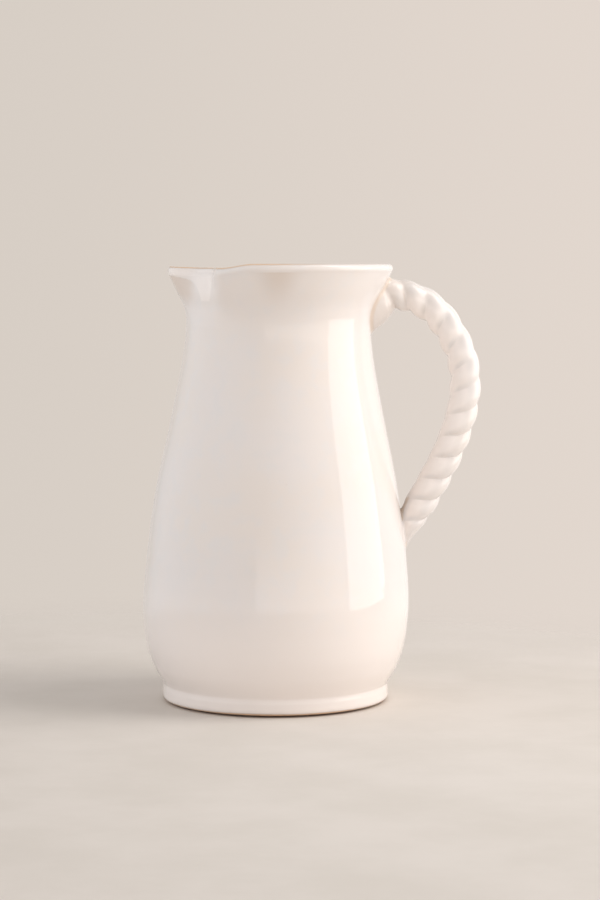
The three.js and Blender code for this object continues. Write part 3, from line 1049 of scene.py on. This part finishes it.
CAMERA_PLACE = (0.01435, -1.451, 0.254)
CAMERA_DOWN = 4.26  # degrees
LENS = 100
SENSOR = 36


def build_floor():
    """A pale round floor that melts into the backdrop well away from the pitcher."""
    rings = np.concatenate([[0], np.geomspace(0.02, FLOOR_FADES[1] + 0.03, FLOOR_RINGS)])
    turns = np.linspace(0, 2 * math.pi, FLOOR_TURNS + 1)
    r, a = np.meshgrid(rings, turns, indexing="ij")
    grid = np.stack([r * np.cos(a), r * np.sin(a), np.zeros_like(r)], -1) + FLOOR_MIDDLE
    skin = Skin()
    skin.grid(grid / UNIT, np.broadcast_to([0.0, 0, 1], grid.shape))
    material, n, shader = new_material("pale_floor")
    mottle = n.between(n.noise(90, 5, 0.6), 0.3, 0.7)
    n.fill(shader["Base Color"], n.mix(mottle, FLOOR_MOTTLE, FLOOR_COLOUR))
    shader["Roughness"].default_value = FLOOR_ROUGHNESS
    away = n.add("ShaderNodeVectorMath", operation="DISTANCE")
    n.fill(away.inputs[0], n.place)
    away.inputs[1].default_value = FLOOR_MIDDLE
    blend = n.add("ShaderNodeMixShader")
    n.fill(blend.inputs[0], n.between(away.outputs["Value"], *FLOOR_FADES))
    n.fill(blend.inputs[1], n.tree.nodes["Principled BSDF"].outputs[0])
    n.fill(blend.inputs[2], n.add("ShaderNodeBsdfTransparent").outputs[0])
    n.fill(n.tree.nodes["Material Output"].inputs["Surface"], blend.outputs[0])
    skin.made("floor", material)


def panel(name, centre, target, size, radiance, roll=0):
    """A softbox that shines evenly from its face."""
    data = bpy.data.lights.new(name, "AREA")
    data.shape = "RECTANGLE"
    data.size, data.size_y = size
    data.energy = radiance * math.pi * size[0] * size[1]
    data.color = WARM_WHITE
    lamp = bpy.data.objects.new(name, data)
    lamp.visible_camera = False
    way = Vector(target) - Vector(centre)
    turn = way.to_track_quat("-Z", "Y") @ Quaternion((0, 0, 1), math.radians(roll))
    lamp.matrix_world = Matrix.Translation(centre) @ turn.to_matrix().to_4x4()
    bpy.context.scene.collection.objects.link(lamp)


def build_world():
    """An even room: the backdrop to look at, and the softer light that the room gives."""
    world = bpy.data.worlds.new("studio")
    world.use_nodes = True
    n = Nodes(world.node_tree, "Generated")
    split = n.add("ShaderNodeSeparateXYZ")
    n.fill(split.inputs[0], n.place)
    x, y, z = split.outputs

    def towards(direction, low, high):
        """0 to 1 as a direction comes near to a given one."""
        dot = n.add("ShaderNodeVectorMath", operation="DOT_PRODUCT")
        n.fill(dot.inputs[0], n.place)
        dot.inputs[1].default_value = direction
        return n.between(dot.outputs["Value"], low, high)

    light = n.mix(n.between(y, -0.2, 0.5), LIGHT_IN_FRONT, LIGHT_BEHIND)
    light = n.mix(n.between(z, 0.25, 0.8), light, LIGHT_ABOVE)
    from_floor = n.maths("MULTIPLY", n.between(z, 0, -0.1), n.between(y, 0.4, -0.3))
    light = n.mix(from_floor, light, LIGHT_FROM_FLOOR)
    light = n.mix(towards(BEHIND_RIGHT, 0.6, 1), light, GLOW_BEHIND_RIGHT)
    from_left = n.maths("MULTIPLY", towards(LEFT, 0.3, 1), n.between(z, -0.35, 0.05))
    light = n.mix(from_left, light, COOL_FROM_LEFT)

    # A soft fill from the camera's side that stops short of the left, so its reflection has an edge.
    fill = n.maths("MULTIPLY", n.between(x, -0.31, -0.27), n.between(y, 0.2, -0.6))
    fill = n.maths("MULTIPLY", fill, n.between(n.maths("ABSOLUTE", z, 0), 0.24, 0))
    light = n.mix(n.maths("MULTIPLY", fill, FILL_SHARE), light, FRONT_FILL)

    # Only the camera sees the backdrop, and everything else gets the room's light.
    # Painted light on the backdrop: darker on the left and lighter on the right, where the key window
    # stands.
    backdrop = n.mix(n.between(x, -0.15, 0.15), BACKDROP_LEFT, BACKDROP_RIGHT)
    seen = n.add("ShaderNodeLightPath").outputs["Is Camera Ray"]
    n.fill(n.tree.nodes["Background"].inputs["Color"], n.mix(seen, light, backdrop))
    bpy.context.scene.world = world


def build_light():
    panel("key_window", *KEY_WINDOW, roll=KEY_ROLL)
    panel("skylight", *SKYLIGHT)


def build_camera():
    """At the height of the mouth, facing the pitcher's side, with the lip on the left."""
    data = bpy.data.cameras.new("view")
    data.sensor_width = SENSOR
    data.lens = LENS
    camera = bpy.data.objects.new("view", data)
    camera.location = CAMERA_PLACE
    camera.rotation_euler = (math.radians(90 - CAMERA_DOWN), 0, 0)
    bpy.context.scene.collection.objects.link(camera)
    bpy.context.scene.camera = camera


build_floor()
build_world()
build_light()
build_camera()
bpy.context.scene.view_settings.view_transform = "Standard"
